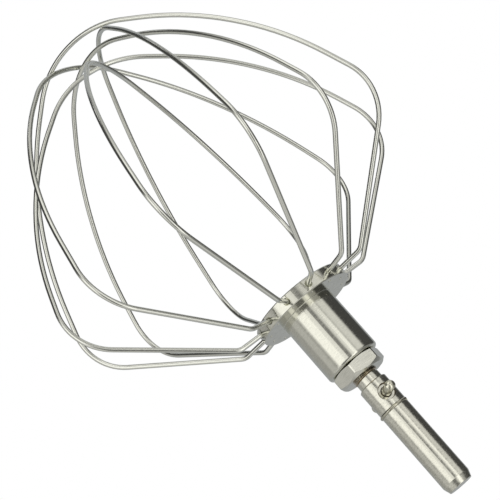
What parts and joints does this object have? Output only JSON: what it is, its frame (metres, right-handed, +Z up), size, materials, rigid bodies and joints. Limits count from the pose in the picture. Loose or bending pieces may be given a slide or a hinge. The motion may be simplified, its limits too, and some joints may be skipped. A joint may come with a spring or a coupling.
{
  "type": "balloon whisk attachment",
  "caption": "Balloon of bent round wires on a turned rim hub, with a locked spindle, cross drive pin and retaining ring for a mixer's socket.",
  "frame": {"origin": "on the spindle's axis at the mouth of the mixer's socket, just above the retaining ring", "axes": "+Z up the spindle towards its free end, which goes into the mixer; the balloon hangs below"},
  "size_m": [0.1565, 0.1562, 0.2388],
  "materials": {
    "wire_steel": "polished stainless wire",
    "hub_steel": "fine turned stainless",
    "nut_steel": "satin milled stainless",
    "spindle_steel": "polished turned stainless",
    "pin_steel": "polished ground stainless",
    "ring_steel": "drawn spring wire"
  },
  "bodies": {
    "root": {"wire_loop_1": "wire_steel", "wire_loop_2": "wire_steel", "wire_loop_3": "wire_steel", "wire_loop_4": "wire_steel", "wire_loop_5": "wire_steel", "wire_loop_6": "wire_steel", "hub": "hub_steel", "lock_nut": "nut_steel", "spindle": "spindle_steel", "drive_pin": "pin_steel", "retaining_ring": "ring_steel"}
  },
  "joints": []
}
